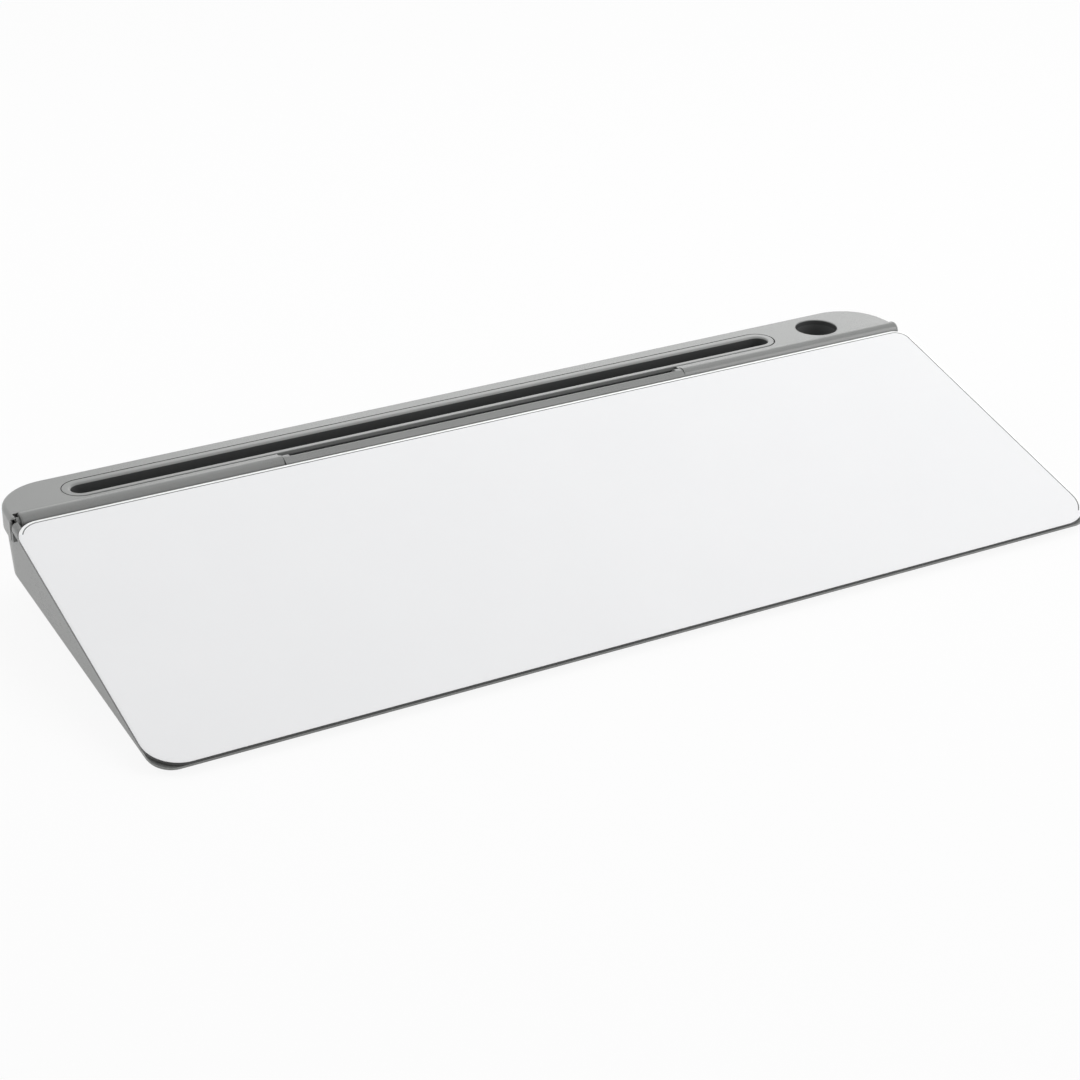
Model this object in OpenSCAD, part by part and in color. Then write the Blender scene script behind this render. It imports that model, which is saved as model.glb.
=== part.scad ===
// Desk whiteboard easel: a long low wedge with a lift-up magnetic glass writing lid,
// a storage tub below it, and a level rear bar with a device slot and a pen hole.
// +X runs to the user's right, +Y to the rear, +Z up. The origin lies on the desk,
// at the middle of the footprint.

/* [Writing panel] */
// Width of the glass
panel_w = 460; // [400:5:500]
// Depth of the glass, along its slope
panel_len = 157.5; // [140:0.5:175]
// Thickness of the glass
glass_t = 2; // [2:0.1:2.4]
// Corner radius of the glass
panel_corner_r = 11; // [6:1:16]
// Slope of the writing face, in degrees
incline = 14.6; // [12:0.1:16]
// Height of the writing face at the front edge
front_h = 5.2; // [5.2:0.1:8]
// Thickness of the steel sheet behind the glass
steel_t = 0.4; // [0.3:0.05:0.5]
// Thickness of the bonding tape
tape_t = 0.25; // [0.2:0.05:0.3]

/* [Lid frame] */
// Thickness of the frame's plate
frame_t = 1.2; // [1:0.1:1.4]
// How far the plate stays inside the glass edge
frame_inset = 0.8; // [0.8:0.1:2]
// Depth of the stiffening ribs below the plate
rib_h = 4.5; // [3:0.5:6]
// Thickness of the ribs
rib_t = 1.6; // [1.2:0.1:2]
// Half length of the central lip
lip_half = 103.6; // [80:0.1:110]

/* [Hinge] */
// Distance of the hinge axis behind the panel's rear edge
axis_back = 4.9; // [4.8:0.1:5.2]
// Distance of the hinge axis below the panel's rear edge
axis_drop = 1.7; // [1.6:0.1:1.8]
// Radius of the fixed hinge barrels, the beads along the bar
barrel_r = 3.95; // [3.6:0.05:4]
// Radius of the hinge pins
pin_r = 1; // [0.8:0.1:1.2]
// Running clearance round a pin
pin_gap = 0.05; // [0.03:0.01:0.08]
// Length of a hinge pin
pin_len = 13; // [10:1:16]
// Radius of the lid's end knuckle
end_knuckle_r = 2.2; // [2:0.1:2.3]
// Radius of the lip's end bosses
lip_boss_r = 3.6; // [3.2:0.1:3.8]
// Length of a lip end boss
lip_boss_len = 3.3; // [3:0.1:5]

/* [Rear bar] */
// Depth of the bar, from the panel's rear edge to the bar's rear edge
bar_depth = 36; // [34:0.5:38]
// Length of the bar
bar_w = 456.8; // [440:0.2:458]
// Height of the bar's skirt
bar_h = 9.8; // [8:0.2:12]
// How far the bar's top stands above the panel's rear edge
bar_rise = 1.2; // [1:0.1:2]
// Radius of the bar's rear corners
bar_corner_r = 23.5; // [18:0.5:25]
// Rounding of the bar's upper edge
bar_edge_r = 2; // [1:0.1:2]
// Wall thickness of the bar
bar_wall = 2.2; // [2:0.1:2.6]
// Distance of the flat top's front edge behind the panel's rear edge
flat_back = 7.5; // [7.3:0.1:7.7]

/* [Device slot] */
// Length of the slot opening
slot_len = 357.8; // [300:0.1:360]
// Width of the slot opening
slot_w = 10.3; // [9:0.1:11]
// Middle of the slot along the bar
slot_x = -17.7; // [-20:0.1:-10]
// Distance of the slot's middle line behind the panel's rear edge
slot_back = 18.35; // [18.3:0.05:18.6]
// Depth of the slot
slot_depth = 16; // [12:1:18]
// Wall thickness of the slot liner
liner_wall = 1.3; // [1:0.1:1.4]
// Width of the liner's rear rim
rim_rear = 4.5; // [3.5:0.1:5]
// Width of the liner's front rim
rim_front = 3.3; // [3.2:0.05:3.3]
// Width of the liner's end rims
rim_end = 3.8; // [3.5:0.1:4.5]
// Thickness of the liner's rim
rim_t = 1.6; // [1.2:0.1:1.8]

/* [Pen hole] */
// Radius of the pen hole
pen_r = 10.2; // [8:0.1:10.3]
// Place of the pen hole along the bar
pen_x = 191.7; // [185:0.1:196]
// Distance of the pen hole behind the panel's rear edge
pen_back = 19.4; // [18:0.1:19.5]
// Wall thickness of the pen cup
cup_wall = 1; // [0.8:0.1:1.2]
// Height of the cup's floor above the desk
cup_floor_z = 20.5; // [20:0.5:24]

/* [Base tub] */
// Wall thickness of the tub
tub_wall = 2; // [1.8:0.1:2.4]
// Thickness of the tub's floor
tub_floor = 1.5; // [1.4:0.1:1.6]
// Distance of the tub's front wall behind the panel's front edge
tub_front_in = 7.4; // [6:0.1:10]
// How far the tub's lower edge rises at the rear
tub_rise = 15.4; // [10:0.2:16]
// How far the belly below that edge slopes inwards down to the flat floor
belly_in = 20; // [14:1:24]
// Gap between the lid's plate and the tub's rim
rim_gap = 0.4; // [0.4:0.1:0.8]
// Place of the dividers on either side of the middle
divider_x = 92; // [60:1:120]

/* [Feet and fasteners] */
// Radius of a foot
foot_r = 6.5; // [5:0.5:7]
// Thickness of a foot
foot_t = 1.4; // [1.2:0.1:1.8]
// How far a foot stands proud of the tub
foot_proud = 0.8; // [0.6:0.1:0.9]
// Radius of a screw's shank
screw_r = 1.4; // [1.2:0.1:1.5]
// Radius of a screw's head
screw_head_r = 2.8; // [2.4:0.1:3]

/* [Hidden] */
$fn = 64;
eps = 0.01;
skin = 0.04;

plastic = [0.63, 0.64, 0.63];
inner_plastic = [0.5, 0.51, 0.5];
rubber = [0.12, 0.12, 0.12];
steel = [0.75, 0.76, 0.78];
glass_white = [0.96, 0.97, 0.97];

// Main lines of the wedge
slope_run = panel_len * cos(incline);
slope_rise = panel_len * sin(incline);
depth = slope_run + bar_depth;
panel_y = depth / 2 - bar_depth;
panel_z = front_h + slope_rise;
front_y = -depth / 2;
rear_y = depth / 2;
slope = tan(incline);

// Hinge axis
axis_y = panel_y + axis_back;
axis_z = panel_z - axis_drop;
barrel_in = lip_half + 0.4;
barrel_right = bar_w / 2 + 0.5;
trough_r = 5.2;
trough_wall = 1.6;

// Left end: the barrel's end face, the lid's hub in its channel, then the bar's cheek
channel_in = bar_w / 2 - 3.8;
channel_out = bar_w / 2 - 1.7;
hub_in = channel_in + 0.3;
hub_out = channel_out - 0.3;
hub_room = 0.3;
channel_back = axis_y + 3.7;
block_in = channel_out - 0.1;
block_out = bar_w / 2 + 0.8;
block_round = 2;
cheek_front = axis_y - 1.3;
cheek_edge = 0.8;
cavity_low = 2.6;
cavity_high = 2.1;
end_flare = 6;

// Walls and shelves inside the bar
barrel_wall = 2.4;
shelf_t = 4;
trough_lip = 4.4;

// Rear bar
bar_top = panel_z + bar_rise;
seat_z = bar_top - bar_h;
plate_t = 2.4;
flat_y = panel_y + flat_back;
bar_front_y = panel_y + 2.4;
tub_step_y = panel_y + 1;

// Device slot
slot_y = panel_y + slot_back;
liner_front = slot_y - slot_w / 2 - rim_front;
liner_rear = slot_y + slot_w / 2 + rim_rear;
liner_w = liner_rear - liner_front;
liner_y = (liner_front + liner_rear) / 2;
liner_len = slot_len + 2 * rim_end;
slot_floor_z = bar_top - slot_depth;
fit_gap = 0.15;

// Pen hole
pen_y = panel_y + pen_back;
cup_top_z = bar_top - plate_t;
collar_h = 5;
collar_wall = 1.3;
cup_base = 2;
pad_t = 1;
pad_r = pen_r - 1.2;

// Base tub
divider_in = 30;
hole_room = 0.3;
tub_bottom = foot_proud;
tub_front = front_y + tub_front_in;
tub_half = bar_w / 2 - 1;
tub_rear = rear_y - 2;
tub_top_r = 19;
tub_low_r = 26;
tub_low_in = 0.6;
tub_floor_r = 10;
tub_front_r = 8.5;
tub_front_face = 4;
stack = glass_t + steel_t + tape_t + frame_t;
rim_n = stack + rim_gap;
bulkhead_y = bar_front_y;
bulkhead_t = 1.8;

// Screw towers: places on the bar, and the height where the two halves meet
end_screw = [bar_w / 2 - 18.9, panel_y + 14.8];
mid_screw_y = bar_front_y + 4.6;
mid_screws = [50, 150];
split_z = 26;
head_seat_z = 16;
screw_end_z = 36;
tower_r = 3.8;
boss_r = 2.4;

// Feet
front_foot = [205, tub_front + 17];
rear_foot = [193, panel_y + 3];

// Lid frame: windows in the plate, ribs below it, sleeves round the pins
plate_back = 0.9;
window_pitch = 86;
window_w = 74;
window_d = 54;
rib_start = -118;
rib_len = 110;
cross_half = 216;
edge_rib_x = 222;
edge_rib_h = 2.5;
lip_bush_wall = 0.6;
hub_bush_wall = 0.5;
tape_w = 12;
sheet_in = 3.5;

// Lid bumpers
bumper = [204, -118];
bumper_r = 3.2;
bumper_stem_r = 1.3;
bumper_sink = 1.6;
bumper_y = panel_y + bumper[1] * cos(incline);

// Height of the writing face above the desk at a given y
function face_z(y) = panel_z - (panel_y - y) * slope;

// Flat plate outline with four round corners, centred on x, from y0 to y1
module round_plate(half, y0, y1, r)
{
    translate([-half + r, y0])
        square([2 * (half - r), y1 - y0]);
    translate([-half, y0 + r])
        square([2 * half, y1 - y0 - 2 * r]);
    for (sx = [-1, 1], y = [y0 + r, y1 - r])
        translate([sx * (half - r), y])
            circle(r);
}

// Long slot outline with half-round ends, centred
module stadium(length, width)
{
    square([length - width, width], center = true);
    for (sx = [-1, 1])
        translate([sx * (length - width) / 2, 0])
            circle(width / 2);
}

// Outline of the bar seen from above, shrunk by an inset: round rear corners, ends that flare forward
module bar_outline(inset, front)
{
    r = bar_corner_r - inset;
    centre = [bar_w / 2 - bar_corner_r, rear_y - bar_corner_r];
    side = [centre[0] + r * cos(end_flare), centre[1] + r * sin(end_flare)];
    front_half = side[0] + (side[1] - front) * tan(end_flare);
    polygon([[-front_half, front], [front_half, front], side, [centre[0], centre[1] + r],
             [-centre[0], centre[1] + r], [-side[0], side[1]]]);
    for (sx = [-1, 1])
        translate([sx * centre[0], centre[1]])
            intersection()
            {
                circle(r);
                translate([-r, front - centre[1]])
                    square([2 * r, 2 * r]);
            }
}

// Outer solid of the bar with its upper edge rounded
module bar_solid()
{
    hull()
    {
        translate([0, 0, seat_z])
            linear_extrude(bar_h - bar_edge_r)
                bar_outline(0, cheek_front);
        for (a = [15 : 15 : 90])
            translate([0, 0, bar_top - bar_edge_r * (1 - sin(a)) - skin])
                linear_extrude(skin)
                    bar_outline(bar_edge_r * (1 - cos(a)),
                                cheek_front + min(cheek_edge, bar_edge_r * (1 - cos(a))));
    }
}

// Local frame of the panel: x across, y up the slope from its rear edge, z out of its face
module on_panel()
{
    translate([0, panel_y, panel_z])
        rotate([incline, 0, 0])
            children();
}

// Solid along x from x0 to x1 with the given outline in the y-z plane
module along_x(x0, x1)
{
    translate([x0, 0, 0])
        rotate([90, 0, 90])
            linear_extrude(x1 - x0)
                children();
}

// Round bar on the hinge axis from x0 to x1
module on_axis(x0, x1, r)
{
    along_x(x0, x1)
        translate([axis_y, axis_z])
            circle(r);
}

// Round plate of the tub at one level, given its half width, rear edge and rear corner radius
module tub_ring(half, rear, r, z)
{
    for (sx = [-1, 1])
        translate([sx * (half - r), rear - r, z])
            cylinder(r = r, h = 0.2, $fn = 48);
}

// Form of the tub: upright walls whose lower edge rises to the rear, above a sloping belly
module tub_form(inset, z0, z1)
{
    low_half = tub_half - tub_low_in - inset;
    floor_half = tub_half - belly_in - inset;
    hull()
    {
        for (sx = [-1, 1])
            translate([sx * (tub_half - tub_front_r), tub_front + tub_front_r, z0])
                cylinder(r = tub_front_r - inset, h = tub_front_face, $fn = 48);
        tub_ring(floor_half, tub_rear - belly_in - inset, tub_floor_r, z0);
        tub_ring(low_half, tub_rear - inset, tub_low_r - inset, z0 + tub_rise);
        tub_ring(tub_half - inset, tub_rear - inset, tub_top_r - inset, z1 - 0.2);
    }
}

// Side view of what lies below a line parallel to the panel, down to a level
module below_panel(drop, y0, y1, z0)
{
    polygon([[y0, z0], [y1, z0], [y1, face_z(y1) - drop / cos(incline)],
             [y0, face_z(y0) - drop / cos(incline)]]);
}

// Every place of a housing screw
module screw_places()
{
    for (sx = [-1, 1])
    {
        translate([sx * end_screw[0], end_screw[1], 0])
            children();
        for (x = mid_screws)
            translate([sx * x, mid_screw_y, 0])
                children();
    }
}

// Storage tub: sloped rim, level seat for the bar, dividers, screw towers and foot recesses
module base_tub()
{
    color(plastic)
        difference()
        {
            intersection()
            {
                union()
                {
                    difference()
                    {
                        tub_form(0, tub_bottom, seat_z + 12);
                        tub_form(tub_wall, tub_bottom + tub_floor, seat_z + 13);
                    }
                    translate([-tub_half + 1, bulkhead_y, tub_bottom + 1])
                        cube([2 * tub_half - 2, bulkhead_t, seat_z]);
                    for (sx = [-1, 1])
                        along_x(sx * divider_x - rib_t / 2, sx * divider_x + rib_t / 2)
                            below_panel(rim_n + rib_h + 1, tub_front + divider_in, bulkhead_y + 1,
                                        tub_bottom + 1);
                    intersection()
                    {
                        tub_form(1, tub_bottom, split_z);
                        screw_places()
                            cylinder(r = tower_r, h = split_z);
                    }
                    for (sx = [-1, 1])
                        translate([sx * bumper[0], bumper_y, tub_bottom])
                            cylinder(r = bumper_r + 1,
                                     h = face_z(bumper_y) - rim_n - bumper_sink - tub_bottom);
                }
                tub_form(0, tub_bottom, seat_z + 12);
                along_x(-tub_half - 5, tub_half + 5)
                    union()
                    {
                        below_panel(rim_n, front_y, tub_step_y, 0);
                        translate([tub_step_y - eps, 0])
                            square([bar_depth + 5, seat_z]);
                    }
            }
            screw_places()
            {
                translate([0, 0, -1])
                    cylinder(r = screw_r + hole_room, h = split_z + 2);
                translate([0, 0, -1])
                    cylinder(r = screw_head_r + hole_room, h = head_seat_z + 1);
            }
            for (sx = [-1, 1])
            {
                translate([sx * front_foot[0], front_foot[1], -1])
                    cylinder(r = foot_r + 0.1, h = 1 + foot_t);
                translate([sx * rear_foot[0], rear_foot[1], -1])
                    cylinder(r = foot_r + 0.1, h = 1 + foot_t);
                translate([sx * bumper[0], bumper_y, tub_bottom + tub_floor])
                    cylinder(r = bumper_stem_r, h = 20);
            }
        }
}

// Shell of the bar: level top and skirt, with the cheek at the left end left standing
module bar_shell()
{
    difference()
    {
        bar_solid();
        translate([0, 0, seat_z - 1])
            linear_extrude(bar_h + 1 - plate_t)
                bar_outline(bar_wall, cheek_front - 1);
        translate([-channel_in, cheek_front - 1, seat_z - 1])
            cube([2 * bar_w, flat_y - cheek_front + 1, bar_h + 2]);
    }
    translate([-block_out, tub_step_y + 0.2, seat_z])
        cube([block_out - channel_in + 1, cheek_front - tub_step_y + 0.5, axis_z - cavity_low - seat_z]);
}

// Barrels, the wall below them, the shelf that joins them to the top, and the right end's closing wall
module bar_barrels()
{
    on_axis(-channel_in, -barrel_in, barrel_r);
    on_axis(barrel_in, barrel_right, barrel_r);
    translate([-channel_in, bar_front_y, seat_z])
        cube([channel_in + barrel_right, barrel_wall, axis_z - seat_z]);
    translate([-channel_in, axis_y, axis_z - cavity_low])
        cube([channel_in + barrel_right, flat_y + 2 - axis_y, shelf_t]);
    translate([barrel_right - bar_wall, bar_front_y, seat_z])
        cube([bar_wall, flat_y + 1 - bar_front_y, axis_z - cavity_low + shelf_t - seat_z]);
}

// Trough in which the lid's lip turns, with the wall behind it that carries the liner's rim
module lip_trough()
{
    difference()
    {
        on_axis(-barrel_in, barrel_in, trough_r + trough_wall);
        translate([-barrel_in - 1, axis_y - 20, axis_z - trough_lip])
            cube([2 * barrel_in + 2, 20, 20]);
        translate([-barrel_in - 1, axis_y - 1, axis_z])
            cube([2 * barrel_in + 2, 20, 20]);
    }
    translate([-barrel_in, axis_y + trough_r, axis_z - 2])
        cube([2 * barrel_in, trough_wall - 0.1, bar_top - rim_t - fit_gap - axis_z + 2]);
}

// Rear bar: level top with skirt, hinge barrels, central recess, and bosses for the screws
module bar_housing()
{
    color(plastic)
        difference()
        {
            union()
            {
                bar_shell();
                bar_barrels();
                lip_trough();
                screw_places()
                    translate([0, 0, split_z])
                        cylinder(r = boss_r, h = bar_top - plate_t - split_z - 3);
                for (sx = [-1, 1])
                    translate([sx * end_screw[0], end_screw[1], split_z])
                        cylinder(r = boss_r, h = bar_top - 1 - split_z);
                translate([pen_x, pen_y, cup_top_z - collar_h])
                    cylinder(r = pen_r + cup_wall + collar_wall, h = collar_h + 1);
            }
            on_axis(-lip_half - 0.3, lip_half + 0.3, trough_r);
            translate([-lip_half - 0.3, axis_y, axis_z - 0.5])
                cube([2 * lip_half + 0.6, liner_front - axis_y, 20]);
            on_axis(-channel_out, -channel_in, end_knuckle_r + hub_room);
            translate([-channel_out, cheek_front - 2, axis_z])
                cube([channel_out - channel_in, channel_back - cheek_front + 2, 10]);
            translate([-channel_out, cheek_front - 4, axis_z - cavity_low])
                cube([channel_out - channel_in, axis_y - cheek_front + 4, 10]);
            translate([-bar_w / 2 - 0.1, cheek_front - 1, axis_z - cavity_low])
                cube([bar_w / 2 + 0.2 - channel_out, axis_y - cheek_front + 3, cavity_low + cavity_high]);
            on_axis(-channel_in - 1, -channel_in + pin_len - 3, pin_r);
            for (sx = [-1, 1])
                on_axis(sx > 0 ? barrel_in - 1 : -barrel_in - pin_len + 3,
                        sx > 0 ? barrel_in + pin_len - 3 : -barrel_in + 1, pin_r);
            translate([slot_x, liner_y, bar_top - rim_t])
                linear_extrude(10)
                    stadium(liner_len + 2 * fit_gap, liner_w + 2 * fit_gap);
            translate([slot_x, slot_y, seat_z - 5])
                linear_extrude(bar_h + 10)
                    stadium(slot_len + 2 * liner_wall + 2 * fit_gap, slot_w + 2 * liner_wall + 2 * fit_gap);
            translate([pen_x, pen_y, seat_z])
                cylinder(r = pen_r, h = 20);
            translate([pen_x, pen_y, seat_z])
                cylinder(r = pen_r + cup_wall, h = cup_top_z - seat_z);
            screw_places()
                translate([0, 0, split_z - 1])
                    cylinder(r = screw_r, h = screw_end_z - split_z + 2);
        }
}

// Insert of the device slot: a flush rim and a deep narrow tray
module slot_liner()
{
    color(plastic)
        difference()
        {
            union()
            {
                translate([slot_x, liner_y, bar_top - rim_t])
                    linear_extrude(rim_t)
                        stadium(liner_len, liner_w);
                translate([slot_x, slot_y, slot_floor_z - liner_wall])
                    linear_extrude(slot_depth)
                        stadium(slot_len + 2 * liner_wall, slot_w + 2 * liner_wall);
            }
            translate([slot_x, slot_y, slot_floor_z])
                linear_extrude(slot_depth + 1)
                    stadium(slot_len, slot_w);
        }
}

// Soft strip on the slot's floor
module slot_grip_pad()
{
    color(rubber)
        translate([slot_x, slot_y, slot_floor_z])
            linear_extrude(1)
                stadium(slot_len - 8, slot_w - 3);
}

// Cup below the pen hole, held in the collar under the bar
module pen_cup()
{
    color(inner_plastic)
        difference()
        {
            translate([pen_x, pen_y, cup_floor_z - cup_base])
                cylinder(r = pen_r + cup_wall, h = cup_top_z - cup_floor_z + cup_base);
            translate([pen_x, pen_y, cup_floor_z])
                cylinder(r = pen_r, h = cup_top_z);
            translate([pen_x, pen_y, cup_floor_z - pad_t])
                cylinder(r = pad_r, h = pad_t + 1);
        }
}

// Disc that pen tips land on, set flush in the cup's floor
module pen_cup_pad()
{
    color(rubber)
        translate([pen_x, pen_y, cup_floor_z - pad_t])
            cylinder(r = pad_r, h = pad_t);
}

// Pin between the lid's hub at the left end and the barrel beside it
module hinge_pin_outer()
{
    color(steel)
        on_axis(-hub_out, -channel_in + pin_len - 3.6, pin_r);
}

// Pins between the lip's end bosses and the barrels
module hinge_pins_inner()
{
    color(steel)
        for (sx = [-1, 1])
            on_axis(sx > 0 ? lip_half - lip_boss_len + 0.2 : -barrel_in - pin_len + 3.6,
                    sx > 0 ? barrel_in + pin_len - 3.6 : -lip_half + lip_boss_len - 0.2, pin_r);
}

// Screws that hold the bar down on the tub, driven from below
module housing_screws()
{
    color(steel)
        screw_places()
            difference()
            {
                union()
                {
                    translate([0, 0, head_seat_z - 2])
                        cylinder(r = screw_head_r, h = 2);
                    translate([0, 0, head_seat_z - eps])
                        cylinder(r = screw_r, h = screw_end_z - head_seat_z);
                }
                translate([0, 0, head_seat_z - 3])
                    cylinder(r = 1.1, h = 2.2, $fn = 6);
            }
}

// Soft bumper with a stem, on which the closed lid rests
module bumper(sx)
{
    color(rubber)
        intersection()
        {
            translate([sx * bumper[0], bumper_y, 0])
                union()
                {
                    translate([0, 0, face_z(bumper_y) - rim_n - bumper_sink])
                        cylinder(r = bumper_r, h = 6);
                    translate([0, 0, tub_bottom + tub_floor])
                        cylinder(r = bumper_stem_r,
                                 h = face_z(bumper_y) - rim_n - bumper_sink - tub_bottom - tub_floor + eps);
                }
            along_x(sx * bumper[0] - 8, sx * bumper[0] + 8)
                below_panel(stack, bumper_y - 8, bumper_y + 8, 0);
        }
}

module bumper_left() bumper(-1);
module bumper_right() bumper(1);

// Round rubber foot in its recess
module foot(sx, place)
{
    color(rubber)
        translate([sx * place[0], place[1], 0])
            cylinder(r = foot_r, h = foot_t);
}

module foot_front_left() foot(-1, front_foot);
module foot_front_right() foot(1, front_foot);
module foot_rear_left() foot(-1, rear_foot);
module foot_rear_right() foot(1, rear_foot);

// White glass writing panel
module writing_panel()
{
    color(glass_white)
        on_panel()
            translate([0, 0, -glass_t])
                linear_extrude(glass_t)
                    round_plate(panel_w / 2, -panel_len, 0, panel_corner_r);
}

// Steel sheet that lets the glass hold magnets
module steel_sheet()
{
    color(steel)
        on_panel()
            translate([0, 0, -glass_t - steel_t])
                linear_extrude(steel_t)
                    round_plate(panel_w / 2 - sheet_in, sheet_in - panel_len, -sheet_in, panel_corner_r - 3);
}

// Bonding strips between the steel and the frame
module panel_tapes()
{
    color([0.85, 0.85, 0.82])
        on_panel()
            for (y = [-18, -panel_len / 2, 16 - panel_len])
                translate([-panel_w / 2 + 10, y - tape_w / 2, -glass_t - steel_t - tape_t])
                    cube([panel_w - 20, tape_w, tape_t]);
}

// Raised block at the lid's rear left corner, level with the glass, round along its outer edge
module corner_block()
{
    difference()
    {
        intersection()
        {
            along_x(-block_out, -block_in)
                polygon([[axis_y - 4.03, face_z(axis_y - 4.03)], [axis_y - 2.77, axis_z - 2],
                         [panel_y - 9, face_z(panel_y - 9) - stack / cos(incline)],
                         [panel_y - 9, face_z(panel_y - 9)]]);
            on_panel()
            {
                translate([-block_out + block_round, -20, -8])
                    cube([4, 40, 8]);
                translate([-block_out, -20, -8])
                    cube([4, 40, 8 - block_round]);
                translate([-block_out + block_round, -20, -block_round])
                    rotate([-90, 0, 0])
                        cylinder(r = block_round, h = 40);
            }
        }
        on_panel()
            translate([panel_corner_r - panel_w / 2, -panel_corner_r, -stack + frame_t])
                cylinder(r = panel_corner_r + 0.3, h = 10);
    }
}

// Frame of the lid: plate, ribs, skirts, central lip with end bosses, end knuckle and block
module lid_frame()
{
    plate_top = -glass_t - steel_t - tape_t;
    color(plastic)
        difference()
        {
            union()
            {
                on_panel()
                {
                    translate([0, 0, plate_top - frame_t])
                        linear_extrude(frame_t)
                            difference()
                            {
                                round_plate(panel_w / 2 - frame_inset, frame_inset - panel_len,
                                            -plate_back, panel_corner_r - frame_inset);
                                for (i = [-2 : 2], j = [0, 1])
                                    translate([i * window_pitch - window_w / 2, -72 - j * 66])
                                        square([window_w, window_d - 6 * j]);
                            }
                    for (i = [-2.5 : 2.5])
                        translate([i * window_pitch - rib_t / 2, rib_start, plate_top - frame_t - rib_h])
                            cube([rib_t, rib_len, rib_h + 0.5]);
                    for (y = [-8, -75])
                        translate([-cross_half, y - rib_t, plate_top - frame_t - rib_h])
                            cube([2 * cross_half, rib_t, rib_h + 0.5]);
                    for (sx = [-1, 1])
                        translate([sx * edge_rib_x - rib_t / 2, rib_start, plate_top - frame_t - edge_rib_h])
                            cube([rib_t, rib_len - 5, edge_rib_h + 0.5]);
                }
                along_x(-lip_half, lip_half)
                    polygon([[panel_y + 0.1, panel_z - 3.95], [panel_y + 0.55, panel_z - 2.1],
                             [panel_y + 0.4, panel_z + 0.1], [panel_y + 3.6, panel_z + 1.8],
                             [panel_y + 3.9, panel_z + 1.8], [panel_y + 4.1, panel_z - 4.2],
                             [panel_y - 1, panel_z - 4.2], [panel_y - 1, panel_z - 3]]);
                for (sx = [-1, 1])
                    on_axis(sx > 0 ? lip_half - lip_boss_len : -lip_half,
                            sx > 0 ? lip_half : -lip_half + lip_boss_len, lip_boss_r);
                on_axis(-hub_out, -hub_in, end_knuckle_r);
                along_x(-hub_out, -hub_in)
                    polygon([[axis_y, axis_z - end_knuckle_r], [axis_y, axis_z],
                             [panel_y + 0.8, panel_z - 2.7], [panel_y - 14, face_z(panel_y - 14) - 2.8],
                             [panel_y - 14, face_z(panel_y - 14) - stack / cos(incline)],
                             [panel_y + 1.8, face_z(panel_y + 1.8) - stack / cos(incline)]]);
                corner_block();
            }
            for (sx = [-1, 1])
            {
                on_axis(sx > 0 ? lip_half - lip_boss_len - 1 : -lip_half - 1,
                        sx > 0 ? lip_half + 1 : -lip_half + lip_boss_len + 1, pin_r + lip_bush_wall);
            }
            on_axis(-hub_out - 1, -hub_in + 1, pin_r + hub_bush_wall);
        }
}

// Plain bearing sleeves in the lip's end bosses
module lip_bushes()
{
    color([0.92, 0.92, 0.88])
        for (sx = [-1, 1])
            difference()
            {
                on_axis(sx > 0 ? lip_half - lip_boss_len : -lip_half,
                        sx > 0 ? lip_half : -lip_half + lip_boss_len, pin_r + lip_bush_wall);
                on_axis(sx > 0 ? lip_half - lip_boss_len - 1 : -lip_half - 1,
                        sx > 0 ? lip_half + 1 : -lip_half + lip_boss_len + 1, pin_r + pin_gap);
            }
}

// Plain bearing sleeve in the lid's end knuckle
module knuckle_bush()
{
    color([0.92, 0.92, 0.88])
        difference()
        {
            on_axis(-hub_out, -hub_in, pin_r + hub_bush_wall);
            on_axis(-hub_out - 1, -hub_in + 1, pin_r + pin_gap);
        }
}

base_tub();
bar_housing();
slot_liner();
slot_grip_pad();
pen_cup();
pen_cup_pad();
hinge_pin_outer();
hinge_pins_inner();
housing_screws();
bumper_left();
bumper_right();
foot_front_left();
foot_front_right();
foot_rear_left();
foot_rear_right();
writing_panel();
steel_sheet();
panel_tapes();
lid_frame();
lip_bushes();
knuckle_bush();
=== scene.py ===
"""Looks of the desk whiteboard easel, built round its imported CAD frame.

The easel is a low wedge: a white glass writing lid hinged along a bead, a storage tub
below it, and a grey rear bar with a device slot and a pen hole. Sizes are in
millimetres in this file and become metres when a piece is finished.
"""

import logging
import math
from dataclasses import dataclass
from enum import Enum
from typing import Any, Sequence

import bmesh
import bpy
from mathutils import Matrix, Vector
from mathutils.geometry import tessellate_polygon


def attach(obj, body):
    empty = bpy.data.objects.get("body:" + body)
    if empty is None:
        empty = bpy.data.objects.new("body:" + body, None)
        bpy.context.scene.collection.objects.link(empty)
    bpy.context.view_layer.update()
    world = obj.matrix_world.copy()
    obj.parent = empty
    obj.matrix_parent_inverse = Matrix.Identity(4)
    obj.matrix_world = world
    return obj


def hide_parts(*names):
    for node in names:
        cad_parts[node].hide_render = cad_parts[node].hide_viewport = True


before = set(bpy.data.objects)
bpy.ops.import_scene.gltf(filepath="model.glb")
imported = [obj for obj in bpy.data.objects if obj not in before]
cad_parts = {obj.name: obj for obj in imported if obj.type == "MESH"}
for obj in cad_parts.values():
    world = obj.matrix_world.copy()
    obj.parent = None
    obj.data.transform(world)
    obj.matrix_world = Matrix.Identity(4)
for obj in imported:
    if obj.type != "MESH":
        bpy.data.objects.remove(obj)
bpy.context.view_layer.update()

logging.basicConfig(level=logging.INFO, format="%(name)s: %(message)s")
log = logging.getLogger("easel")

MM = 0.001
COPY_WELD = 0.002
PIECE_WELD = 0.002 * MM
FLAT_ANGLE = math.radians(0.3)
Outline = list[Vector]


class Body(Enum):
    """The two bodies of the easel."""

    BASE = "base"
    LID = "lid"


class Corner(Enum):
    """Which side of an outline the material lies on, at an edge that is eased."""

    OUTER = 1
    HOLE = -1


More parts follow.
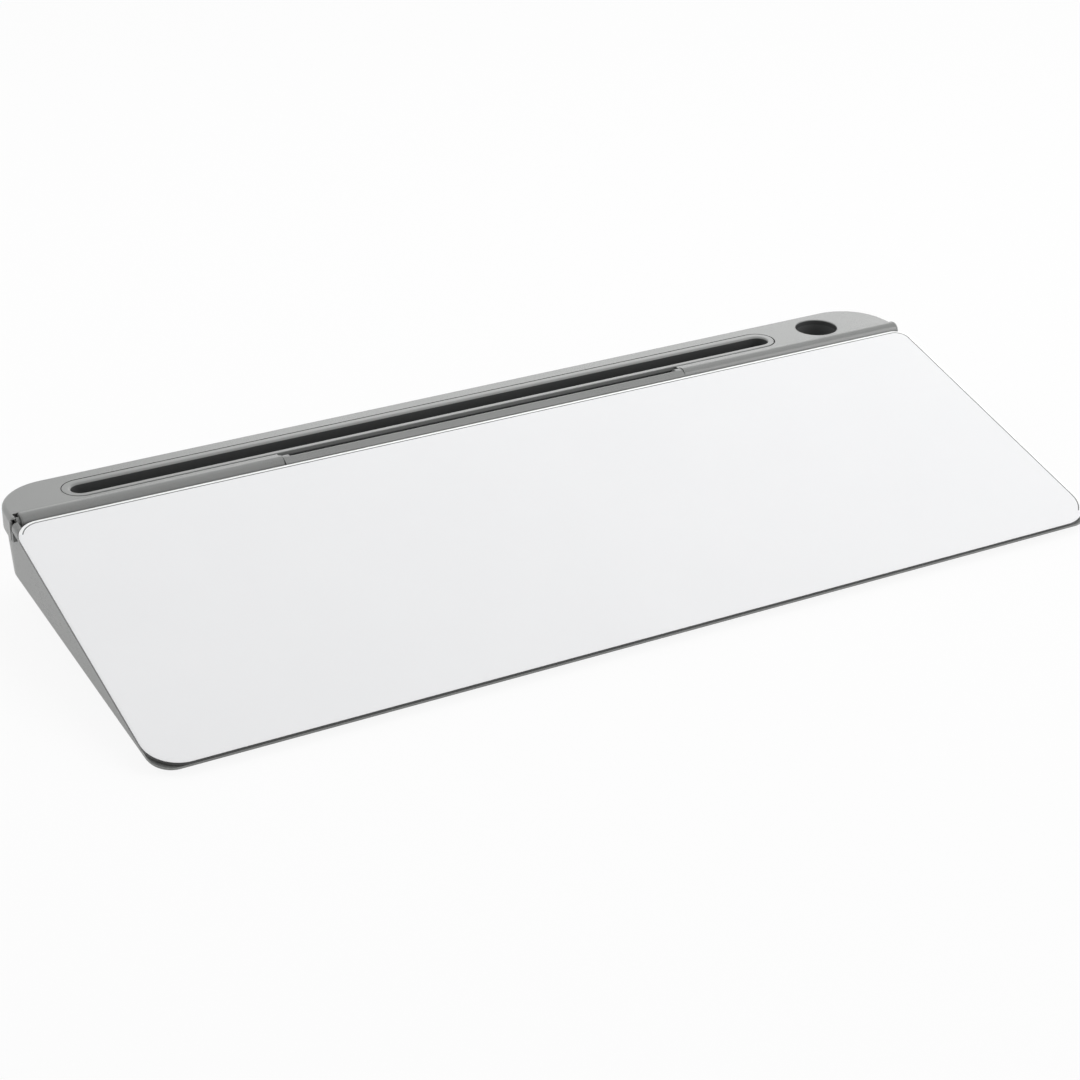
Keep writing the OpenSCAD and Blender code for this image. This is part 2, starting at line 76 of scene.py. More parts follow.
@dataclass(frozen=True)
class Level:
    """One ring of a lofted form: its height, how far its outline is drawn in, and moved along Y."""

    height: float
    inset: float = 0.0
    finish: int = 0
    shift: float = 0.0


@dataclass(frozen=True)
class Datum:
    """Main lines that all sub-assemblies share, worked out as the part's source does."""

    panel_w: float = 460.0
    panel_len: float = 157.5
    incline: float = math.radians(14.6)
    front_h: float = 5.2
    bar_depth: float = 36.0
    bar_rise: float = 1.2
    axis_back: float = 4.9
    axis_drop: float = 1.7

    @property
    def panel_y(self) -> float:
        """Rear edge of the glass, along Y."""
        return (self.panel_len * math.cos(self.incline) - self.bar_depth) / 2

    @property
    def panel_z(self) -> float:
        """Height of the writing face at its rear edge."""
        return self.front_h + self.panel_len * math.sin(self.incline)

    @property
    def axis(self) -> tuple[float, float]:
        """Hinge axis, as its Y and Z."""
        return self.panel_y + self.axis_back, self.panel_z - self.axis_drop

    @property
    def bar_top(self) -> float:
        """Height of the bar's level top."""
        return self.panel_z + self.bar_rise

    @property
    def on_panel(self) -> Matrix:
        """Local frame of the glass: X across, Y up the slope, Z out of its face."""
        turn = Matrix.Rotation(self.incline, 4, "X")
        return Matrix.Translation((0, self.panel_y, self.panel_z)) @ turn


DATUM = Datum()
UPRIGHT = Matrix.Identity(4)
ALONG_X = Matrix(((0, 0, 1, 0), (1, 0, 0, 0), (0, 1, 0, 0), (0, 0, 0, 1)))


def arc(centre: Sequence[float], radius: float, start: float, end: float, steps: int) -> Outline:
    """Points along an arc.

    Args:
        centre: Middle of the arc.
        radius: Its radius.
        start: First angle, in degrees.
        end: Last angle, in degrees.
        steps: Number of equal steps.

    Returns:
        The points, both ends included.
    """
    turns = [math.radians(start + (end - start) * i / steps) for i in range(steps + 1)]
    middle = Vector((centre[0], centre[1]))
    return [middle + radius * Vector((math.cos(t), math.sin(t))) for t in turns]


def circle(centre: Sequence[float], radius: float, steps: int = 96) -> Outline:
    """Closed circle as an outline, anticlockwise."""
    return arc(centre, radius, 0, 360 - 360 / steps, steps - 1)


def stadium(centre: Sequence[float], length: float, width: float, steps: int = 32) -> Outline:
    """Long outline with half-round ends, anticlockwise.

    Args:
        centre: Middle of the outline.
        length: Whole length.
        width: Whole width.
        steps: Steps of each half-round end.

    Returns:
        The outline's points.
    """
    reach = (length - width) / 2
    right = arc((centre[0] + reach, centre[1]), width / 2, -90, 90, steps)
    left = arc((centre[0] - reach, centre[1]), width / 2, 90, 270, steps)
    return right + left


def round_rectangle(half: float, low: float, high: float, radii: Sequence[float]) -> Outline:
    """Rectangle with round corners, anticlockwise.

    Args:
        half: Half of its width.
        low: Its front side.
        high: Its rear side.
        radii: Radii of the corners: front right, rear right, rear left and front left.

    Returns:
        The outline's points.
    """
    outline = []
    for turn, radius in enumerate(radii):
        x = half - radius if turn in (0, 1) else radius - half
        y = low + radius if turn in (0, 3) else high - radius
        outline += arc((x, y), radius, 90 * turn - 90, 90 * turn, 20)
    return outline


def drawn_in(outline: Outline, distance: float) -> Outline:
    """An anticlockwise outline moved inwards.

    Args:
        outline: The points.
        distance: How far inwards, or outwards where it is negative.

    Returns:
        As many points, each moved along its mitre.
    """
    if not distance:
        return list(outline)
    moved = []
    count = len(outline)
    for i, here in enumerate(outline):
        before = (here - outline[i - 1]).normalized()
        after = (outline[(i + 1) % count] - here).normalized()
        normals = Vector((-before.y, before.x)), Vector((-after.y, after.x))
        mitre = (normals[0] + normals[1]) / max(1 + normals[0].dot(normals[1]), 0.2)
        moved.append(here + mitre * distance)
    return moved


def rounding(top: float, radius: float, steps: int = 6, finish: int = 0) -> list[Level]:
    """Levels that round an upper edge off.

    Args:
        top: Height of the face above the edge.
        radius: Radius of the rounding.
        steps: Number of steps.
        finish: Material slot of the rounding.

    Returns:
        Levels from the start of the rounding up to the face.
    """
    turns = [math.radians(90 * i / steps) for i in range(steps + 1)]
    return [Level(top - radius * (1 - math.sin(t)), radius * (1 - math.cos(t)), finish) for t in turns]


class Form:
    """A mesh under construction, made of closed forms."""

    def __init__(self) -> None:
        """Starts an empty mesh."""
        self.mesh = bmesh.new()

    def loft(self, outline: Outline, levels: Sequence[Level], place: Matrix = UPRIGHT) -> None:
        """Adds a closed form whose outline changes from level to level.

        Args:
            outline: Anticlockwise outline.
            levels: Rings from the lowest up.
            place: Local frame of the form.
        """
        rings = []
        for level in levels:
            moved = drawn_in(outline, level.inset)
            spots = [Vector((p.x, p.y + level.shift, level.height)) for p in moved]
            rings.append([self.mesh.verts.new(place @ spot) for spot in spots])
        made = []
        for below, above, level in zip(rings, rings[1:], levels[1:]):
            made += self._band(below, above, level.finish)
        for ring, level in ((rings[0], levels[0]), (rings[-1], levels[-1])):
            for face in tessellate_polygon([[vertex.co for vertex in ring]]):
                made.append(self.mesh.faces.new([ring[i] for i in face]))
                made[-1].material_index = level.finish
        bmesh.ops.recalc_face_normals(self.mesh, faces=made)

    def ring(
        self, outline: Outline, profile: Sequence[Vector], side: Corner, place: Matrix = UPRIGHT
    ) -> None:
        """Adds a closed ring that follows an outline.

        Args:
            outline: Anticlockwise outline that the ring follows.
            profile: Closed section; X is the distance off the outline, out of the material.
            side: Which side of the outline the material lies on.
            place: Local frame of the outline.
        """
        loops = []
        for step in profile:
            moved = drawn_in(outline, -side.value * step.x)
            loops.append([self.mesh.verts.new(place @ Vector((p.x, p.y, step.y))) for p in moved])
        made = []
        for i, loop in enumerate(loops):
            made += self._band(loop, loops[(i + 1) % len(loops)], 0)
        bmesh.ops.recalc_face_normals(self.mesh, faces=made)

    def _band(self, below: list[Any], above: list[Any], finish: int) -> list[Any]:
        """Joins two loops of vertices with a band of faces.

        Args:
            below: First loop.
            above: Second loop, with as many vertices.
            finish: Material slot of the band.

        Returns:
            The new faces.
        """
        faces = []
        for i, first in enumerate(below):
            j = (i + 1) % len(below)
            face = self.mesh.faces.new((first, below[j], above[j], above[i]))
            face.material_index = finish
            faces.append(face)
        return faces

    def copy_of(self, node: str) -> None:
        """Adds a merged copy of a CAD node's mesh, in millimetres."""
        part = bmesh.new()
        part.from_mesh(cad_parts[node].data)
        bmesh.ops.scale(part, vec=(1 / MM, 1 / MM, 1 / MM), verts=part.verts)
        bmesh.ops.remove_doubles(part, verts=part.verts, dist=COPY_WELD)
        shape = bpy.data.meshes.new(node + "_copy")
        part.to_mesh(shape)
        part.free()
        self.mesh.from_mesh(shape)
        bpy.data.meshes.remove(shape)

    def as_object(self, name: str) -> bpy.types.Object:
        """Turns the form into an object, in millimetres."""
        shape = bpy.data.meshes.new(name)
        self.mesh.to_mesh(shape)
        self.mesh.free()
        made = bpy.data.objects.new(name, shape)
        bpy.context.scene.collection.objects.link(made)
        return made


def eased(radius: float, steps: int = 6, beyond: float = 0.4) -> list[Vector]:
    """Section of what an edge loses when it is rounded off.

    Args:
        radius: Radius of the rounding.
        steps: Steps of the arc.
        beyond: How far the section reaches outside the edge.

    Returns:
        A closed section, with the edge at its origin and the material towards negative X and Y.
    """
    curve = arc((-radius, -radius), radius, 90, 0, steps)
    return [Vector((beyond, -radius)), Vector((beyond, beyond)), Vector((-radius, beyond))] + curve


def settled(made: bpy.types.Object) -> bpy.types.Object:
    """Turns an object's modifiers into a plain mesh, and removes them."""
    graph = bpy.context.evaluated_depsgraph_get()
    shape = bpy.data.meshes.new_from_object(made.evaluated_get(graph))
    made.modifiers.clear()
    old = made.data
    made.data = shape
    bpy.data.meshes.remove(old)
    return made


class Cut(Enum):
    """What a second form does to the first."""

    TAKE = "DIFFERENCE"
    JOIN = "UNION"


def worked(target: bpy.types.Object, other: Form, cut: Cut = Cut.TAKE) -> bpy.types.Object:
    """Takes a form out of an object, or joins it on.

    Args:
        target: Object in millimetres.
        other: Closed forms to take out or to join.
        cut: Which of the two.

    Returns:
        The object, with its mesh replaced.
    """
    tool = other.as_object(target.name + "_tool")
    step = target.modifiers.new("work", "BOOLEAN")
    step.operation = cut.value
    step.solver = "EXACT"
    step.use_self = True
    step.object = tool
    settled(target)
    bpy.data.objects.remove(tool)
    return target


def dressed(
    made: bpy.types.Object,
    body: Body,
    finishes: Sequence[bpy.types.Material],
    stands_for: Sequence[str] = (),
    sharp: float = 32.0,
) -> bpy.types.Object:
    """Gives a finished piece its materials, its body and the CAD nodes it stands for.

    Args:
        made: The piece.
        body: Body that it moves with.
        finishes: Materials in the order of their slots, none where the mesh has them already.
        stands_for: CAD nodes that it replaces.
        sharp: Angle above which an edge stays sharp, in degrees.

    Returns:
        The piece.
    """
    shape = made.data
    shape.transform(Matrix.Scale(MM, 4))
    tidy = bmesh.new()
    tidy.from_mesh(shape)
    bmesh.ops.remove_doubles(tidy, verts=tidy.verts, dist=PIECE_WELD)
    bmesh.ops.dissolve_limit(
        tidy, angle_limit=FLAT_ANGLE, verts=tidy.verts, edges=tidy.edges, delimit={"MATERIAL"}
    )
    tidy.to_mesh(shape)
    tidy.free()
    shape.shade_smooth()
    shape.set_sharp_from_angle(angle=math.radians(sharp))
    for finish in finishes:
        shape.materials.append(finish)
    even = made.modifiers.new("even_normals", "WEIGHTED_NORMAL")
    even.keep_sharp = True
    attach(made, body.value)
    if stands_for:
        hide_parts(*stands_for)
    log.info("%s rides on %s, %d faces", made.name, body.value, len(shape.polygons))
    return made


class NodeSheet:
    """A node tree under construction, with short calls for nodes and links."""

    def __init__(self, tree: bpy.types.NodeTree) -> None:
        """Starts on a tree whose nodes are cleared.

        Args:
            tree: The tree to fill.
        """
        self.tree = tree
        tree.nodes.clear()

    def add(self, kind: str, settings: dict[str, Any] | None = None, **values: Any) -> bpy.types.Node:
        """Adds a node.

        Args:
            kind: Blender's name of the node.
            settings: Properties of the node itself.
            values: Inputs by name, with _ for a space: a socket links, anything else is the value.

        Returns:
            The node.
        """
        node = self.tree.nodes.new(kind)
        for key, value in (settings or {}).items():
            setattr(node, key, value)
        for key, value in values.items():
            self.put(node, key.replace("_", " "), value)
        return node

    def put(self, node: bpy.types.Node, key: str | int, value: Any) -> None:
        """Sets one input of a node, by name or place, or links a socket to it."""
        socket = node.inputs[key]
        if isinstance(value, bpy.types.NodeSocket):
            self.tree.links.new(value, socket)
        else:
            socket.default_value = value

    def math(self, how: str, *terms: Any) -> bpy.types.NodeSocket:
        """Works a number out.

        Args:
            how: Blender's name of the operation.
            terms: Sockets or numbers.

        Returns:
            The result's socket.
        """
        node = self.add("ShaderNodeMath", {"operation": how})
        for place, term in enumerate(terms):
            self.put(node, place, term)
        return node.outputs["Value"]

    def mixed(self, *parts: Any) -> bpy.types.NodeSocket:
        """Mixes two shaders: the second one's share, the first and the second, as sockets."""
        node = self.add("ShaderNodeMixShader")
        for place, part in enumerate(parts):
            self.put(node, place, part)
        return node.outputs["Shader"]

    def group_ends(self, inputs: dict[str, tuple[str, float]], outputs: dict[str, str]) -> tuple[Any, Any]:
        """Gives a group its named sockets.

        Args:
            inputs: Name to socket type and value, which only a number takes.
            outputs: Name to socket type.

        Returns:
            The group's input and output nodes.
        """
        face = self.tree.interface
        for name, (kind, value) in inputs.items():
            socket = face.new_socket(name, in_out="INPUT", socket_type=kind)
            if kind in ("NodeSocketFloat", "NodeSocketInt"):
                socket.default_value = value
        for name, kind in outputs.items():
            face.new_socket(name, in_out="OUTPUT", socket_type=kind)
        return self.tree.nodes.new("NodeGroupInput"), self.tree.nodes.new("NodeGroupOutput")


MOTTLE_SHARE = 0.7
GRAIN_SPREAD = (0.55, 1.15)

# Sockets of the colour mix node, by place
MIX_SHARE, MIX_DARK, MIX_LIGHT, MIX_RESULT = 0, 6, 7, 2


def grain_group() -> bpy.types.NodeTree:
    """Shared fine grain of moulded and rolled surfaces: a height, a slow mottle and a roughness that vary.

    Returns:
        The shader node group.
    """
    found = bpy.data.node_groups.get("fine_grain")
    if found:
        return found
    sheet = NodeSheet(bpy.data.node_groups.new("fine_grain", "ShaderNodeTree"))
    entry, leave = sheet.group_ends(
        {
            "Vector": ("NodeSocketVector", 0.0),
            "Grain Scale": ("NodeSocketFloat", 2600.0),
            "Mottle Scale": ("NodeSocketFloat", 22.0),
            "Roughness Low": ("NodeSocketFloat", 0.4),
            "Roughness High": ("NodeSocketFloat", 0.5),
        },
        {"Height": "NodeSocketFloat", "Mottle": "NodeSocketFloat", "Roughness": "NodeSocketFloat"},
    )
    place = entry.outputs["Vector"]
    scales = entry.outputs["Grain Scale"], entry.outputs["Mottle Scale"]
    fine = sheet.add("ShaderNodeTexNoise", Vector=place, Scale=scales[0], Detail=3.0, Roughness=0.62)
    slow = sheet.add("ShaderNodeTexNoise", Vector=place, Scale=scales[1], Detail=4.0, Roughness=0.55)
    both = sheet.math("MULTIPLY_ADD", slow.outputs["Fac"], MOTTLE_SHARE, fine.outputs["Fac"])
    spread = sheet.add(
        "ShaderNodeMapRange",
        Value=both,
        From_Min=GRAIN_SPREAD[0],
        From_Max=GRAIN_SPREAD[1],
        To_Min=entry.outputs["Roughness Low"],
        To_Max=entry.outputs["Roughness High"],
    )
    sheet.put(leave, "Height", fine.outputs["Fac"])
    sheet.put(leave, "Mottle", slow.outputs["Fac"])
    sheet.put(leave, "Roughness", spread.outputs["Result"])
    return sheet.tree


@dataclass(frozen=True)
class Finish:
    """A surface whose colour, roughness and relief come from the shared grain."""

    name: str
    dark: tuple[float, float, float]
    light: tuple[float, float, float]
    rough: tuple[float, float]
    grain: float = 2600.0
    mottle: float = 22.0
    relief: float = 0.12
    depth: float = 0.00004
    metallic: float = 0.0
    specular: float = 0.5
    coat: float = 0.0
    ior: float = 1.5
    stretch: tuple[float, float, float] = (1.0, 1.0, 1.0)

    def material(self) -> bpy.types.Material:
        """Builds the material once.

        Returns:
            The material.
        """
        found = bpy.data.materials.get(self.name)
        if found:
            return found
        made = bpy.data.materials.new(self.name)
        made.use_nodes = True
        sheet = NodeSheet(made.node_tree)
        place = sheet.add("ShaderNodeTexCoord").outputs["Object"]
        turned = sheet.add("ShaderNodeMapping", Vector=place, Scale=self.stretch)
        grain = sheet.add(
            "ShaderNodeGroup",
            {"node_tree": grain_group()},
            Vector=turned.outputs["Vector"],
            Grain_Scale=self.grain,
            Mottle_Scale=self.mottle,
            Roughness_Low=self.rough[0],
            Roughness_High=self.rough[1],
        )
        tone = sheet.add("ShaderNodeMix", {"data_type": "RGBA"})
        sheet.put(tone, MIX_SHARE, grain.outputs["Mottle"])
        sheet.put(tone, MIX_DARK, (*self.dark, 1.0))
        sheet.put(tone, MIX_LIGHT, (*self.light, 1.0))
        bump = sheet.add(
            "ShaderNodeBump",
            Height=grain.outputs["Height"],
            Strength=self.relief,
            Distance=self.depth,
        )
        skin = sheet.add(
            "ShaderNodeBsdfPrincipled",
            Base_Color=tone.outputs[MIX_RESULT],
            Roughness=grain.outputs["Roughness"],
            Metallic=self.metallic,
            Normal=bump.outputs["Normal"],
            IOR=self.ior,
            Specular_IOR_Level=self.specular,
            Coat_Weight=self.coat,
        )
        sheet.add("ShaderNodeOutputMaterial", Surface=skin.outputs["BSDF"])
        return made


Tone = tuple[float, float, float]
GREY_LOW: Tone = (0.233, 0.238, 0.233)
GREY_HIGH: Tone = (0.262, 0.267, 0.262)

GREY_PLASTIC = Finish("satin_grey_plastic", GREY_LOW, GREY_HIGH, (0.25, 0.33))
LINER_PLASTIC = Finish("satin_liner_plastic", (0.235, 0.24, 0.235), (0.26, 0.265, 0.26), (0.27, 0.34))
# Painted shade: near-black grey for the shade deep in the slot, the recess and the pen hole; the plastic
# there is the same grey
PAINTED_SHADE_PLASTIC = Finish("painted_shade_slot_walls", (0.052, 0.054, 0.054), (0.072, 0.075, 0.074), (0.5, 0.62))
# Painted shade: the pen cup is darker than the grey plastic, for the shade down in the pen hole
CUP_PAINTED_SHADE = Finish("cup_plastic_painted_shade", (0.09, 0.092, 0.092), (0.125, 0.128, 0.127), (0.45, 0.6))
GLASS_FACE = Finish(
    "white_backed_glass",
    (0.872, 0.876, 0.886),
    (0.897, 0.90, 0.908),
    (0.03, 0.07),
    grain=60.0,
    relief=0.02,
    coat=0.3,
)
# Painted highlight: the arris is lighter than the face, for the bright backdrop that it reflects
GLASS_ARRIS_HIGHLIGHT = Finish(
    "arris_painted_highlight", (0.90, 0.91, 0.905), (0.95, 0.955, 0.95), (0.05, 0.12), grain=900.0, relief=0.05
)
# Painted reflection: a dark line between the arris and the face, for the bevel's dark reflection
GLASS_DARK_REFLECTION = Finish(
    "painted_dark_reflection_line", (0.13, 0.135, 0.133), (0.18, 0.187, 0.184), (0.06, 0.12), grain=900.0, relief=0.05
)
# Near-black edge: partly the glass's own dark edge, partly a painted shade of the shaded band under the
# front edge
GLASS_EDGE_AND_SHADE = Finish(
    "ground_edge_and_shade", (0.014, 0.015, 0.014), (0.030, 0.032, 0.030), (0.2, 0.35), grain=1500.0
)
RUBBER = Finish(
    "black_rubber", (0.012, 0.012, 0.012), (0.028, 0.028, 0.028), (0.62, 0.8), grain=1800.0, relief=0.3
)
SHEET_STEEL = Finish(
    "rolled_sheet_steel",
    (0.50, 0.51, 0.52),
    (0.62, 0.63, 0.64),
    (0.25, 0.42),
    metallic=1.0,
    stretch=(0.05, 1.0, 1.0),
)
PIN_STEEL = Finish("ground_pin_steel", (0.52, 0.53, 0.54), (0.66, 0.67, 0.68), (0.15, 0.3), metallic=1.0)
ZINC = Finish(
    "zinc_plate", (0.58, 0.60, 0.63), (0.72, 0.74, 0.77), (0.18, 0.34), metallic=1.0, mottle=300.0
)
BUSH_PLASTIC = Finish("bearing_plastic", (0.74, 0.74, 0.69), (0.82, 0.82, 0.77), (0.3, 0.42))
TAPE = Finish("bonding_tape", (0.62, 0.62, 0.58), (0.72, 0.72, 0.68), (0.6, 0.75), grain=1200.0, relief=0.3)


class Pattern:
    """A Geometry Nodes tree that grows repeated small forms, with named inputs for their sizes."""

    def __init__(self, name: str, inputs: dict[str, tuple[str, float]]) -> None:
        """Starts the tree with its geometry, its sizes and its material.

        Args:
            name: Name of the tree.
            inputs: Size name to socket type and value.
        """
        self.tree = bpy.data.node_groups.new(name, "GeometryNodeTree")
        self.sheet = NodeSheet(self.tree)
        every = {"Geometry": ("NodeSocketGeometry", 0.0), **inputs, "Material": ("NodeSocketMaterial", 0.0)}
        self.entry, self.leave = self.sheet.group_ends(every, {"Geometry": "NodeSocketGeometry"})
        self.values = {name: pair[1] for name, pair in inputs.items()}

    def size(self, name: str) -> bpy.types.NodeSocket:
        """Socket of a named size."""
        return self.entry.outputs[name]

    def moved(self, geometry: Any, height: Any = 0.0, turn: tuple[float, float, float] = (0, 0, 0)) -> Any:
        """Moves a form up and turns it.

        Args:
            geometry: The form's socket.
            height: Socket or number.
            turn: Euler angles, in radians.

        Returns:
            The moved form's socket.
        """
        lift = self.sheet.add("ShaderNodeCombineXYZ", Z=height)
        node = self.sheet.add(
            "GeometryNodeTransform",
            Geometry=geometry,
            Rotation=turn,
            Translation=lift.outputs["Vector"],
        )
        return node.outputs["Geometry"]

    def joined(self, *parts: Any) -> Any:
        """Joins forms into one."""
        node = self.sheet.add("GeometryNodeJoinGeometry")
        for part in parts:
            self.tree.links.new(part, node.inputs["Geometry"])
        return node.outputs["Geometry"]

    def finish(self, geometry: Any) -> None:
        """Ends the tree: instances become real, and the material is set."""
        real = self.sheet.add("GeometryNodeRealizeInstances", Geometry=geometry)
        skin = self.sheet.add(
            "GeometryNodeSetMaterial",
            Geometry=real.outputs["Geometry"],
            Material=self.entry.outputs["Material"],
        )
        self.sheet.put(self.leave, "Geometry", skin.outputs["Geometry"])

    def grown(self, made: bpy.types.Object, finish: Finish) -> bpy.types.Object:
        """Runs the tree on an object and keeps the result as a plain mesh.

        Args:
            made: Object in millimetres, which gives the tree its geometry.
            finish: Finish of all that comes out.

        Returns:
            The object.
        """
        step = made.modifiers.new(self.tree.name, "NODES")
        step.node_group = self.tree
        for socket in self.tree.interface.items_tree:
            if socket.in_out == "INPUT" and socket.name in self.values:
                step[socket.identifier] = self.values[socket.name]
            if socket.in_out == "INPUT" and socket.name == "Material":
                step[socket.identifier] = finish.material()
        return settled(made)


def at_places(name: str, places: Sequence[Sequence[float]]) -> bpy.types.Object:
    """An object with one loose point at each place, for a pattern to grow on."""
    shape = bpy.data.meshes.new(name)
    shape.from_pydata([tuple(place) for place in places], [], [])
    made = bpy.data.objects.new(name, shape)
    bpy.context.scene.collection.objects.link(made)
    return made


# Material slots of the glass: the face, the arris with a painted highlight, a painted dark reflection line,
# and the edge
FACE, PAINTED_HIGHLIGHT, REFLECTION_LINE, EDGE = range(4)


@dataclass(frozen=True)
class WritingPanel:
    """White glass panel with a polished arris, and the steel and tapes behind it; along the rear and right
    the arris has a painted highlight and a painted dark reflection line.
    """

    thickness: float = 2.0
    corners: tuple[float, float, float, float] = (17.0, 8.0, 11.0, 15.5)
    arris_w: float = 1.5
    arris_h: float = 0.36
    dark_line_w: float = 0.5
    dark_line_end: float = 0.05
    ring_step: float = 0.0001
    underside: float = 0.25
    lit_from: float = -0.35
    sharp: float = 24.0

    def build(self) -> None:
        """Makes the glass, and dresses the CAD nodes behind it."""
        outline = round_rectangle(DATUM.panel_w / 2, -DATUM.panel_len, 0, self.corners)
        levels = [
            Level(-self.thickness, self.underside, EDGE),
            Level(-self.thickness + self.underside, 0, EDGE),
            Level(-self.arris_h, 0, EDGE),
            Level(0, self.arris_w, PAINTED_HIGHLIGHT),
            Level(self.ring_step, self.arris_w + self.dark_line_w, REFLECTION_LINE),
            Level(2 * self.ring_step, self.arris_w + self.dark_line_w + self.dark_line_end, FACE),
        ]
        form = Form()
        form.loft(outline, levels, DATUM.on_panel)
        self.painted_light_rear_right(form)
        glass = form.as_object("glass_panel")
        finishes = [f.material() for f in (GLASS_FACE, GLASS_ARRIS_HIGHLIGHT, GLASS_DARK_REFLECTION, GLASS_EDGE_AND_SHADE)]
        dressed(glass, Body.LID, finishes, ["writing_panel"], self.sharp)
        dress_node("steel_sheet", SHEET_STEEL)
        dress_node("panel_tapes", TAPE)

    def painted_light_rear_right(self, form: Form) -> None:
        """Leaves the arris's painted highlight and the painted dark reflection line beside it only along
        the rear and right edges, where the light falls on them; elsewhere these bands take the face's
        white.

        Args:
            form: The glass, in the part's frame.
        """
        home = DATUM.on_panel.inverted()
        rear_right = Vector((1.0, 1.0)).normalized()
        rear_r, front_r = self.corners[2:]
        inner = DATUM.panel_w / 2 - rear_r
        for face in form.mesh.faces:
            spot = home @ face.calc_center_median()
            out = Vector((0.0, 0.0))
            out.x = math.copysign(max(abs(spot.x) - inner, 0), spot.x)
            out.y = max(spot.y + rear_r, 0) + min(spot.y + DATUM.panel_len - front_r, 0)
            if not out.length or out.normalized().dot(rear_right) > self.lit_from:
                continue
            # Painted light by direction: the front and left edges lose the painted highlight and the
            # painted dark line
            if face.material_index in (PAINTED_HIGHLIGHT, REFLECTION_LINE):
                face.material_index = FACE


def dress_node(node: str, finish: Finish) -> None:
    """Gives a CAD node that stays in view its finish.

    Args:
        node: Name of the node.
        finish: Its finish.
    """
    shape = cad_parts[node].data
    if len(shape.materials):
        shape.materials[0] = finish.material()
    else:
        shape.materials.append(finish.material())
    log.info("%s keeps its CAD form, in %s", node, finish.name)


# Material slots of the housing and of the liner: the plain plastic, and a painted shade on the walls of the
# slot, the recess and the pen hole
PLAIN, PAINTED_SHADE = range(2)


